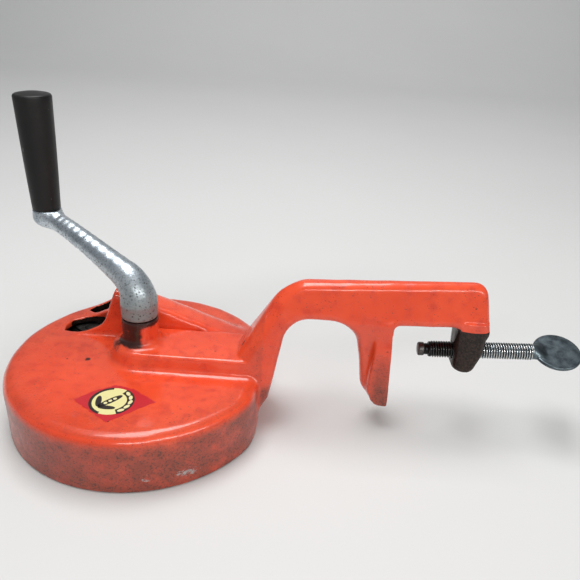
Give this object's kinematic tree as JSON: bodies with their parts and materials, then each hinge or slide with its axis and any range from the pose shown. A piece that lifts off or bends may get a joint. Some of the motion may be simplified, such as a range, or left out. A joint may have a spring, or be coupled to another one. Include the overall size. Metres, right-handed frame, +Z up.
{
  "type": "hand-cranked bean slicer",
  "caption": "Round cast-iron kitchen slicer: hooded feed slots over a knife disc, hand crank with wooden grip, and a table clamp arm with thumb screw.",
  "frame": {"origin": "middle of the whole object's footprint, on the surface that the drum's rim stands on", "axes": "+Z up along the spindle, +X from the drum towards the clamp and its thumb screw, +Y towards the feed hood's side"},
  "size_m": [0.366, 0.17, 0.1944],
  "materials": {
    "red_paint": "worn orange-red enamel on cast iron",
    "tinned_steel": "tinned, rubbed bright and slightly pitted",
    "dark_steel": "dark, oily",
    "blued_steel": "grey-blue steel with bright worn edges",
    "knife_steel": "ground",
    "black_wood": "black painted wood, satin, lightly scratched"
  },
  "bodies": {
    "frame": {"housing": "red_paint"},
    "rotor": {"spindle": "dark_steel", "cutter_disc": "tinned_steel", "knife_1": "knife_steel", "knife_2": "knife_steel", "knife_3": "knife_steel", "knife_screw_1_inner": "dark_steel", "knife_screw_1_outer": "dark_steel", "knife_screw_2_inner": "dark_steel", "knife_screw_2_outer": "dark_steel", "knife_screw_3_inner": "dark_steel", "knife_screw_3_outer": "dark_steel", "thrust_washer": "tinned_steel", "disc_washer": "dark_steel", "disc_nut": "dark_steel", "crank": "tinned_steel", "grip_pin": "dark_steel"},
    "grip": {"grip": "black_wood"},
    "screw_tip": {"screw_tip": "dark_steel"},
    "clamp_screw": {"clamp_screw": "blued_steel"}
  },
  "joints": [
    {"name": "crank_spin", "type": "hinge", "parent": "frame", "child": "rotor", "pos_m": [-0.098, 0, 0.05], "axis": [0, 0, 1], "continuous": true},
    {"name": "grip_spin", "type": "hinge", "parent": "rotor", "child": "grip", "pos_m": [-0.16711, 0.0399, 0.15], "axis": [0, 0, 1], "continuous": true},
    {"name": "screw_travel", "type": "slide", "parent": "frame", "child": "screw_tip", "axis": [-0.999, 0, -0.0445], "range_m": [-0.0141, 0.0171]},
    {"name": "screw_turn", "type": "hinge", "parent": "screw_tip", "child": "clamp_screw", "pos_m": [0.08, 0, 0.05641], "axis": [-0.999, 0, -0.0445], "range_deg": [-3200, 3880]}
  ],
  "couplings": [
    {"joint": "screw_turn", "follows": "screw_travel", "rad_per_m": 3957.9}
  ]
}
